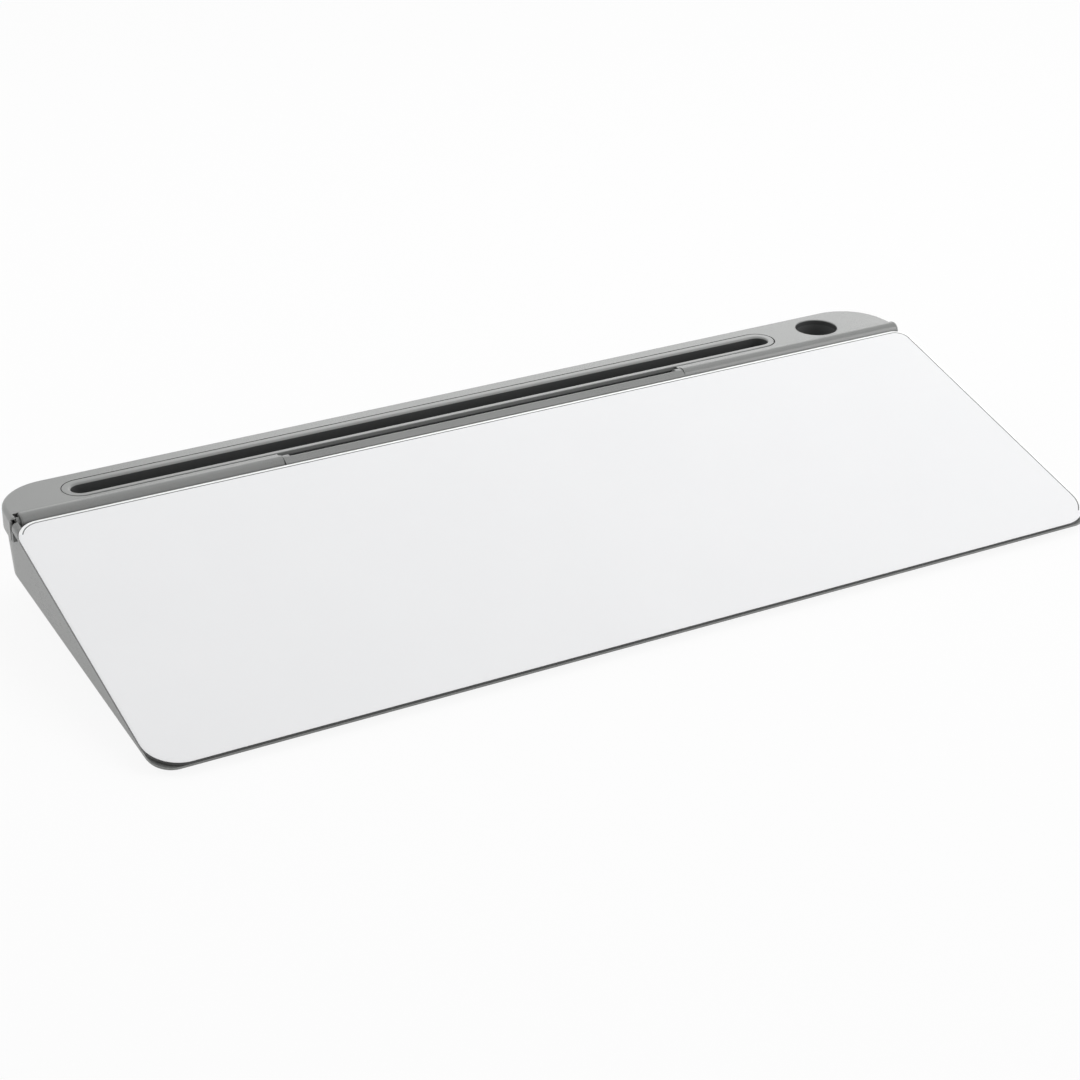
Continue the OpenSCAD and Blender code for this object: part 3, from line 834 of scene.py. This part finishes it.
@dataclass(frozen=True)
class RearBar:
    """The bar's housing with its beads, its slot liner, and the pen cup."""

    # Bead, the lid's channel at its left end, and the filler in that channel
    channel_in: float = 224.6
    channel_out: float = 226.7
    barrel_right: float = 228.9
    barrel_in: float = 104.0
    barrel_r: float = 3.95
    left_ease: float = 0.9
    right_ease: float = 1.6
    fill_y: tuple[float, float] = (2.92, 3.9)
    fill_drop: float = 1.1
    # Where the housing's walls get the painted shade, with the play of each test
    recess_y: tuple[float, float] = (57.5, 68.2)
    recess_drop: float = 5.3
    opening_drop: float = 2.7
    pocket_play: float = 0.2
    skin: float = 0.05
    pen_skin: float = 0.03
    thin_skin: float = 0.02
    lap: float = 0.1
    # Pen hole: its middle and radius, and its rounding
    pen: tuple[float, float, float] = (191.7, 77.6067, 10.2)
    pen_edge: float = 0.5
    # Slot and its liner; the rim is as wide as its three values at the rear, the front and the ends
    slot_len: float = 357.8
    slot_w: float = 10.3
    slot_x: float = -17.7
    slot_back: float = 18.35
    slot_depth: float = 16.0
    rim: tuple[float, float, float] = (4.5, 3.3, 3.8)
    rim_t: float = 1.6
    rim_edge: float = 0.3
    rim_lap: float = 0.2
    rim_gap: float = 0.22
    front_gap: float = 0.55
    wall: float = 1.3
    lip_rear: float = 1.9
    lip_front: float = 0.35
    lip_drop: float = 0.75
    lip_steps: int = 8
    # Grip strip: how much shorter and narrower than the slot, and its ridges' radius and pitch
    strip_in: tuple[float, float] = (8.0, 3.0)
    strip_h: float = 0.8
    strip_edge: float = 0.25
    ridge: tuple[float, float] = (0.2, 3.2)
    ridge_in: float = 2.0

    @property
    def slot_y(self) -> float:
        """Middle line of the slot."""
        return DATUM.panel_y + self.slot_back

    @property
    def floor_z(self) -> float:
        """Height of the slot's floor."""
        return DATUM.bar_top - self.slot_depth

    def build(self) -> None:
        """Makes the housing, the liner and its strip, and dresses the cup."""
        self.housing()
        self.liner()
        self.grip_strip()
        # Painted shade: the cup's dark grey stands for the shade in the pen hole
        dress_node("pen_cup", CUP_PAINTED_SHADE)
        dress_node("pen_cup_pad", RUBBER)

    def housing(self) -> None:
        """Housing: the CAD form with its beads' ends and the pen hole rounded off, and a painted shade on
        its recess and opening walls.
        """
        form = Form()
        form.copy_of("bar_housing")
        housing = form.as_object("bar_housing_dressed")
        tool = Form()
        mouth = circle(self.pen[:2], self.pen[2])
        tool.ring(mouth, self._at(eased(self.pen_edge), DATUM.bar_top), Corner.HOLE)
        bead = circle(DATUM.axis, self.barrel_r, 72)
        left = [Vector((p.x, -self.channel_in - p.y)) for p in eased(self.left_ease)]
        right = self._at(eased(self.right_ease), self.barrel_right)
        tool.ring(bead, left, Corner.OUTER, ALONG_X)
        tool.ring(bead, right, Corner.OUTER, ALONG_X)
        worked(housing, tool)
        worked(housing, self.corner_fill(), Cut.JOIN)
        # Painted shade: the recess and opening walls take the near-black finish for the shade inside them
        for face in housing.data.polygons:
            if self.painted_shade_in_recess(face.center) or self.painted_shade_in_opening(face.center):
                face.material_index = PAINTED_SHADE
        finishes = [GREY_PLASTIC.material(), PAINTED_SHADE_PLASTIC.material()]
        dressed(housing, Body.BASE, finishes, ["bar_housing"])

    def corner_fill(self) -> Form:
        """Prism that brings the flat's front edge up to the knuckle's room in the channel."""
        y = DATUM.axis[0]
        near, far, top = y + self.fill_y[0], y + self.fill_y[1], DATUM.bar_top
        section = [Vector((near, top)), Vector((far, top - self.fill_drop)), Vector((far, top))]
        form = Form()
        ends = [Level(-self.channel_out - self.lap), Level(self.lap - self.channel_in)]
        form.loft(section, ends, ALONG_X)
        return form

    def painted_shade_in_opening(self, spot: Vector) -> bool:
        """Tells whether a place lies on the walls of the pen hole or of the liner's pocket, which get a
        painted shade.
        """
        if not DATUM.bar_top - self.opening_drop < spot.z < DATUM.bar_top - self.skin:
            return False
        off_pen = math.hypot(spot.x - self.pen[0], spot.y - self.pen[1])
        rear, front, end = self.rim
        half = self.slot_len / 2 + end + self.pocket_play
        low = self.slot_y - self.slot_w / 2 - front - self.pocket_play
        high = self.slot_y + self.slot_w / 2 + rear + self.pocket_play
        in_pocket = abs(spot.x - self.slot_x) < half and low < spot.y < high
        return in_pocket or off_pen < self.pen[2] + self.pen_skin

    def painted_shade_in_recess(self, spot: Vector) -> bool:
        """Tells whether a place lies on the walls of the recess behind the lid's lip, which get a painted
        shade.
        """
        across = abs(spot.x) < self.barrel_in - self.skin
        deep = self.recess_y[0] < spot.y < self.recess_y[1]
        low, high = DATUM.axis[1] - self.recess_drop, DATUM.bar_top - self.thin_skin
        return across and deep and low < spot.z < high

    def liner(self) -> None:
        """Slot liner: a flush rim, a deep narrow tray, and a mouth that is rounder at its rear; the tray's
        inner walls get a painted shade.
        """
        rear, front, end = self.rim
        top = DATUM.bar_top
        rim_y = self.slot_y + (rear - front + self.front_gap) / 2
        rim_w = self.slot_w + rear + front - self.front_gap
        rim = stadium((self.slot_x, rim_y), self.slot_len + 2 * end, rim_w)
        mouth = stadium((self.slot_x, self.slot_y), self.slot_len, self.slot_w)
        form = Form()
        form.loft(drawn_in(rim, self.rim_gap), [Level(top - self.rim_t), *rounding(top, self.rim_edge, 3)])
        liner = form.as_object("slot_liner_dressed")
        walls = Form()
        heights = self.floor_z - self.wall, top - self.rim_t + self.rim_lap
        walls.loft(drawn_in(mouth, -self.wall), [Level(height) for height in heights])
        worked(liner, walls, Cut.JOIN)
        tool = Form()
        wide = (self.lip_rear + self.lip_front) / 2
        skew = (self.lip_rear - self.lip_front) / 2
        flare = [Level(self.floor_z), Level(top - self.lip_drop)]
        for step in range(1, self.lip_steps + 1):
            turn = math.radians(90 * step / self.lip_steps)
            share = 1 - math.cos(turn)
            height = top - self.lip_drop * (1 - math.sin(turn))
            flare.append(Level(height, -wide * share, PLAIN, skew * share))
        flare.append(Level(top + 1, -wide, PLAIN, skew))
        tool.loft(mouth, flare)
        worked(liner, tool)
        # Painted shade: the tray's inner walls take the near-black finish for the shade deep in the slot
        for face in liner.data.polygons:
            inside = abs(face.center.y - self.slot_y) < self.slot_w / 2 + self.thin_skin
            low, high = self.floor_z - self.lap, top - self.lip_drop + self.lap
            if inside and low < face.center.z < high:
                face.material_index = PAINTED_SHADE
        finishes = [LINER_PLASTIC.material(), PAINTED_SHADE_PLASTIC.material()]
        dressed(liner, Body.BASE, finishes, ["slot_liner"])

    def grip_strip(self) -> None:
        """Soft strip on the slot's floor, with a row of low cross ridges."""
        length, width = self.slot_len - self.strip_in[0], self.slot_w - self.strip_in[1]
        radius, pitch = self.ridge
        form = Form()
        outline = stadium((0, 0), length, width)
        form.loft(outline, [Level(0), *rounding(self.strip_h, self.strip_edge, 3)])
        count = int((length - width) / pitch)
        pattern = Pattern(
            "cross_ridges",
            {
                "Ridge Radius": ("NodeSocketFloat", radius),
                "Ridge Length": ("NodeSocketFloat", width - self.ridge_in),
                "Ridge Height": ("NodeSocketFloat", self.strip_h),
                "Pitch": ("NodeSocketFloat", pitch),
                "Start": ("NodeSocketFloat", -pitch * (count - 1) / 2),
                "Count": ("NodeSocketInt", count),
            },
        )
        sheet = pattern.sheet
        start = sheet.add("ShaderNodeCombineXYZ", X=pattern.size("Start"))
        offset = sheet.add("ShaderNodeCombineXYZ", X=pattern.size("Pitch"))
        row = sheet.add(
            "GeometryNodeMeshLine",
            {"mode": "OFFSET"},
            Count=pattern.size("Count"),
            Start_Location=start.outputs["Vector"],
            Offset=offset.outputs["Vector"],
        )
        bar = sheet.add(
            "GeometryNodeMeshCylinder",
            Vertices=12,
            Radius=pattern.size("Ridge Radius"),
            Depth=pattern.size("Ridge Length"),
        )
        lying = pattern.moved(bar.outputs["Mesh"], pattern.size("Ridge Height"), (math.pi / 2, 0, 0))
        spread = sheet.add("GeometryNodeInstanceOnPoints", Points=row.outputs["Mesh"], Instance=lying)
        pattern.finish(pattern.joined(pattern.size("Geometry"), spread.outputs["Instances"]))
        strip = pattern.grown(form.as_object("slot_grip_strip"), RUBBER)
        strip.data.transform(Matrix.Translation((self.slot_x, self.slot_y, self.floor_z)))
        dressed(strip, Body.BASE, [], ["slot_grip_pad"])

    @staticmethod
    def _at(section: Sequence[Vector], height: float) -> list[Vector]:
        """A section moved up to a height."""
        return [Vector((p.x, p.y + height)) for p in section]


@dataclass(frozen=True)
class Lid:
    """Frame of the lid with its lip and knuckle."""

    def build(self) -> None:
        """Makes the frame with even normals, and dresses its bushes."""
        form = Form()
        form.copy_of("lid_frame")
        made = form.as_object("lid_frame_dressed")
        dressed(made, Body.LID, [GREY_PLASTIC.material()], ["lid_frame"])
        dress_node("lip_bushes", BUSH_PLASTIC)
        dress_node("knuckle_bush", BUSH_PLASTIC)


@dataclass(frozen=True)
class Base:
    """Storage tub with its bumpers, feet, pins and screws."""

    # Feet: radius and thickness, the rings' pitch and radius, and places
    foot: tuple[float, float] = (6.5, 1.4)
    foot_rings: int = 3
    foot_ring: tuple[float, float] = (1.7, 0.3)
    front_foot: tuple[float, float] = (205.0, -69.8067)
    rear_foot: tuple[float, float] = (193.0, 61.2067)
    # Screws: radius and height of each stretch, the thread, and places
    screw_head: tuple[float, float] = (2.8, 2.0)
    screw_shank: tuple[float, float] = (1.4, 20.0)
    screw_seat: float = 16.0
    head_edge: float = 0.5
    recess: tuple[float, float] = (1.1, 1.2)
    thread_pitch: float = 1.3
    thread_depth: float = 0.22
    thread_share: float = 0.9
    thread_from: float = 1.0
    end_screw: tuple[float, float] = (211.1, 73.0067)
    mid_screws: tuple[float, float] = (50.0, 150.0)
    mid_screw_y: float = 65.2067

    def build(self) -> None:
        """Makes the tub, its feet and its screws, and dresses what is fitted to it."""
        form = Form()
        form.copy_of("base_tub")
        made = form.as_object("base_tub_dressed")
        dressed(made, Body.BASE, [GREY_PLASTIC.material()], ["base_tub"])
        for node in ("bumper_left", "bumper_right"):
            dress_node(node, RUBBER)
        for node in ("hinge_pin_outer", "hinge_pins_inner"):
            dress_node(node, PIN_STEEL)
        self.feet()
        self.screws()

    def feet(self) -> None:
        """Four rubber feet, each with rings on its underside."""
        radius, thickness = self.foot
        pattern = Pattern(
            "ringed_foot",
            {
                "Radius": ("NodeSocketFloat", radius),
                "Thickness": ("NodeSocketFloat", thickness),
                "Ring Pitch": ("NodeSocketFloat", self.foot_ring[0]),
                "Ring Radius": ("NodeSocketFloat", self.foot_ring[1]),
            },
        )
        sheet = pattern.sheet
        raised = pattern.size("Ring Radius")
        disc = sheet.add(
            "GeometryNodeMeshCone",
            Vertices=48,
            Depth=sheet.math("SUBTRACT", pattern.size("Thickness"), raised),
            Radius_Top=pattern.size("Radius"),
            Radius_Bottom=sheet.math("SUBTRACT", pattern.size("Radius"), raised),
        )
        parts = [pattern.moved(disc.outputs["Mesh"], raised)]
        section = sheet.add("GeometryNodeCurvePrimitiveCircle", Resolution=10, Radius=raised)
        for count in range(1, self.foot_rings + 1):
            reach = sheet.math("MULTIPLY", pattern.size("Ring Pitch"), float(count))
            line = sheet.add("GeometryNodeCurvePrimitiveCircle", Resolution=48, Radius=reach)
            ring = sheet.add(
                "GeometryNodeCurveToMesh",
                Curve=line.outputs["Curve"],
                Profile_Curve=section.outputs["Curve"],
            )
            parts.append(pattern.moved(ring.outputs["Mesh"], raised))
        whole = pattern.joined(*parts)
        spread = sheet.add("GeometryNodeInstanceOnPoints", Points=pattern.size("Geometry"), Instance=whole)
        pattern.finish(spread.outputs["Instances"])
        for row, spot in (("front", self.front_foot), ("rear", self.rear_foot)):
            for side, sign in (("left", -1), ("right", 1)):
                name = f"foot_{row}_{side}"
                place = at_places(name + "_ringed", [(sign * spot[0], spot[1], 0.0)])
                dressed(pattern.grown(place, RUBBER), Body.BASE, [], [name])

    def screws(self) -> None:
        """Six plated screws with a thread and a hexagon recess, driven from below."""
        pattern = Pattern(
            "housing_screw",
            {
                "Head Radius": ("NodeSocketFloat", self.screw_head[0]),
                "Head Height": ("NodeSocketFloat", self.screw_head[1]),
                "Shank Radius": ("NodeSocketFloat", self.screw_shank[0]),
                "Shank Length": ("NodeSocketFloat", self.screw_shank[1]),
                "Thread Pitch": ("NodeSocketFloat", self.thread_pitch),
                "Thread Depth": ("NodeSocketFloat", self.thread_depth),
                "Recess Radius": ("NodeSocketFloat", self.recess[0]),
                "Recess Depth": ("NodeSocketFloat", self.recess[1]),
            },
        )
        sheet = pattern.sheet
        head = sheet.add(
            "GeometryNodeMeshCone",
            Vertices=36,
            Depth=pattern.size("Head Height"),
            Radius_Top=pattern.size("Head Radius"),
            Radius_Bottom=sheet.math("SUBTRACT", pattern.size("Head Radius"), self.head_edge),
        )
        key = sheet.add(
            "GeometryNodeMeshCylinder",
            Vertices=6,
            Depth=sheet.math("MULTIPLY", pattern.size("Recess Depth"), 2.0),
            Radius=pattern.size("Recess Radius"),
        )
        cut = sheet.add("GeometryNodeMeshBoolean", {"operation": "DIFFERENCE", "solver": "EXACT"})
        sheet.put(cut, "Mesh 1", head.outputs["Mesh"])
        pattern.tree.links.new(key.outputs["Mesh"], cut.inputs["Mesh 2"])
        core = sheet.math("SUBTRACT", pattern.size("Shank Radius"), pattern.size("Thread Depth"))
        long = pattern.size("Shank Length")
        shank = sheet.add("GeometryNodeMeshCylinder", Vertices=24, Radius=core, Depth=long)
        middle = sheet.math("ADD", sheet.math("MULTIPLY", long, 0.5), pattern.size("Head Height"))
        turns = sheet.math("DIVIDE", long, pattern.size("Thread Pitch"))
        helix = sheet.add(
            "GeometryNodeCurveSpiral",
            Resolution=14,
            Rotations=sheet.math("MULTIPLY", turns, self.thread_share),
            Height=sheet.math("MULTIPLY", long, self.thread_share),
            Start_Radius=core,
            End_Radius=core,
        )
        crest = sheet.add(
            "GeometryNodeCurvePrimitiveCircle", Resolution=5, Radius=pattern.size("Thread Depth")
        )
        thread = sheet.add(
            "GeometryNodeCurveToMesh",
            Curve=helix.outputs["Curve"],
            Profile_Curve=crest.outputs["Curve"],
            Fill_Caps=True,
        )
        above = sheet.math("ADD", pattern.size("Head Height"), self.thread_from)
        whole = pattern.joined(
            cut.outputs["Mesh"],
            pattern.moved(shank.outputs["Mesh"], middle),
            pattern.moved(thread.outputs["Mesh"], above),
        )
        spread = sheet.add("GeometryNodeInstanceOnPoints", Points=pattern.size("Geometry"), Instance=whole)
        pattern.finish(spread.outputs["Instances"])
        start = self.screw_seat - self.screw_head[1]
        places = []
        for sign in (-1, 1):
            places.append((sign * self.end_screw[0], self.end_screw[1], start))
            places += [(sign * x, self.mid_screw_y, start) for x in self.mid_screws]
        screws = pattern.grown(at_places("housing_screws_threaded", places), ZINC)
        dressed(screws, Body.BASE, [], ["housing_screws"])


@dataclass(frozen=True)
class Lamp:
    """A soft lamp: its place and size in metres, its power, and whether gloss shows it."""

    name: str
    spot: tuple[float, float, float]
    size: tuple[float, float]
    power: float
    in_gloss: bool


@dataclass(frozen=True)
class Studio:
    """Floor, background, lamps and the camera at the photograph's place."""

    camera_at: tuple[float, float, float] = (-0.529876, -0.921445, 0.522520)
    azimuth: float = 29.484966
    tilt: float = 25.838204
    lens: float = 88.40
    # Strengths of the background, and how much of the floor's white glows
    sky: float = 0.49
    ceiling: float = 0.2
    keep: float = 0.9
    ceiling_rise: tuple[float, float] = (0.42, 0.85)
    floor_size: tuple[float, float, float] = (6000.0, 100.0, 2.0)
    aim: tuple[float, float, float] = (0.0, 0.0, 0.02)
    sensor: float = 36.0
    clip: tuple[float, float] = (0.05, 20.0)
    lamps: tuple[Lamp, ...] = (
        Lamp("key_right", (0.6, 0.25, 1.25), (0.9, 0.9), 7.5, False),
        Lamp("rear_panel", (1.7, 1.8, 1.05), (2.5, 1.0), 9.5, True),
        Lamp("front_right", (1.15, -1.0, 0.66), (0.6, 1.1), 7.5, True),
        Lamp("left_rear", (-0.8, 0.8, 1.1), (0.8, 0.8), 5.0, False),
    )

    def build(self) -> None:
        """Makes the floor, the background, the lamps and the camera."""
        self.floor()
        self.background()
        for lamp in self.lamps:
            self.place(lamp)
        self.camera()
        bpy.context.scene.view_settings.view_transform = "Standard"

    @staticmethod
    def seen(sheet: NodeSheet) -> bpy.types.NodeSocket:
        """A mask of rays from the camera, and of those that gloss and glass show."""
        path = sheet.add("ShaderNodeLightPath")
        first = sheet.math("MAXIMUM", path.outputs["Is Camera Ray"], path.outputs["Is Glossy Ray"])
        return sheet.math("MAXIMUM", first, path.outputs["Is Transmission Ray"])

    def floor(self) -> None:
        """Plain pale floor: white to the camera, with the object's shadow kept faintly."""
        form = Form()
        half, corner, thickness = self.floor_size
        form.loft(round_rectangle(half, -half, half, [corner] * 4), [Level(-thickness), Level(0)])
        floor = form.as_object("studio_floor")
        floor.data.transform(Matrix.Scale(MM, 4))
        made = bpy.data.materials.new("studio_white")
        made.use_nodes = True
        sheet = NodeSheet(made.node_tree)
        skin = sheet.add("ShaderNodeBsdfPrincipled", Base_Color=(0.8, 0.8, 0.8, 1.0), Roughness=0.9)
        glow = sheet.add("ShaderNodeEmission", Color=(1.0, 1.0, 1.0, 1.0), Strength=1.0)
        share = sheet.math("MULTIPLY", self.seen(sheet), self.keep)
        both = sheet.mixed(share, skin.outputs["BSDF"], glow.outputs["Emission"])
        sheet.add("ShaderNodeOutputMaterial", Surface=both)
        floor.data.materials.append(made)

    def background(self) -> None:
        """Background: white to the camera, a studio with a darker ceiling to gloss, soft to the rest."""
        world = bpy.data.worlds.new("studio_air")
        bpy.context.scene.world = world
        world.use_nodes = True
        sheet = NodeSheet(world.node_tree)
        path = sheet.add("ShaderNodeLightPath")
        white = sheet.add("ShaderNodeBackground", Color=(1.0, 1.0, 1.0, 1.0), Strength=1.0)
        soft = sheet.add("ShaderNodeBackground", Color=(1.0, 1.0, 1.0, 1.0), Strength=self.sky)
        way = sheet.add("ShaderNodeTexCoord").outputs["Generated"]
        part = sheet.add("ShaderNodeSeparateXYZ", Vector=way)
        rise = sheet.add(
            "ShaderNodeMapRange",
            {"interpolation_type": "SMOOTHSTEP"},
            Value=part.outputs["Z"],
            From_Min=self.ceiling_rise[0],
            From_Max=self.ceiling_rise[1],
            To_Min=1.0,
            To_Max=self.ceiling,
        )
        room = sheet.add(
            "ShaderNodeBackground", Color=(1.0, 1.0, 1.0, 1.0), Strength=rise.outputs["Result"]
        )
        lit = sheet.mixed(
            path.outputs["Is Glossy Ray"], soft.outputs["Background"], room.outputs["Background"]
        )
        clear = sheet.math("MAXIMUM", path.outputs["Is Camera Ray"], path.outputs["Is Transmission Ray"])
        both = sheet.mixed(clear, lit, white.outputs["Background"])
        sheet.add("ShaderNodeOutputWorld", Surface=both)

    def place(self, lamp: Lamp) -> None:
        """Adds a soft lamp that points at the easel.

        Args:
            lamp: The lamp.
        """
        data = bpy.data.lights.new(lamp.name, "AREA")
        data.shape = "RECTANGLE"
        data.size, data.size_y = lamp.size
        data.energy = lamp.power
        made = bpy.data.objects.new(lamp.name, data)
        made.location = lamp.spot
        aim = Vector(self.aim) - Vector(lamp.spot)
        made.rotation_euler = aim.to_track_quat("-Z", "Y").to_euler()
        made.visible_glossy = lamp.in_gloss
        bpy.context.scene.collection.objects.link(made)

    def camera(self) -> None:
        """Sets the camera where the photograph was taken from."""
        data = bpy.data.cameras.new("photo_camera")
        data.sensor_width = self.sensor
        data.lens = self.lens
        data.clip_start, data.clip_end = self.clip
        made = bpy.data.objects.new("photo_camera", data)
        made.location = self.camera_at
        made.rotation_euler = (math.radians(90 - self.tilt), 0, -math.radians(self.azimuth))
        bpy.context.scene.collection.objects.link(made)
        bpy.context.scene.camera = made


def main() -> None:
    """Builds the easel's pieces in order, then the studio."""
    for part in (WritingPanel(), RearBar(), Lid(), Base()):
        log.info("building %s", type(part).__name__)
        part.build()
    Studio().build()


if __name__ == "__main__":
    main()
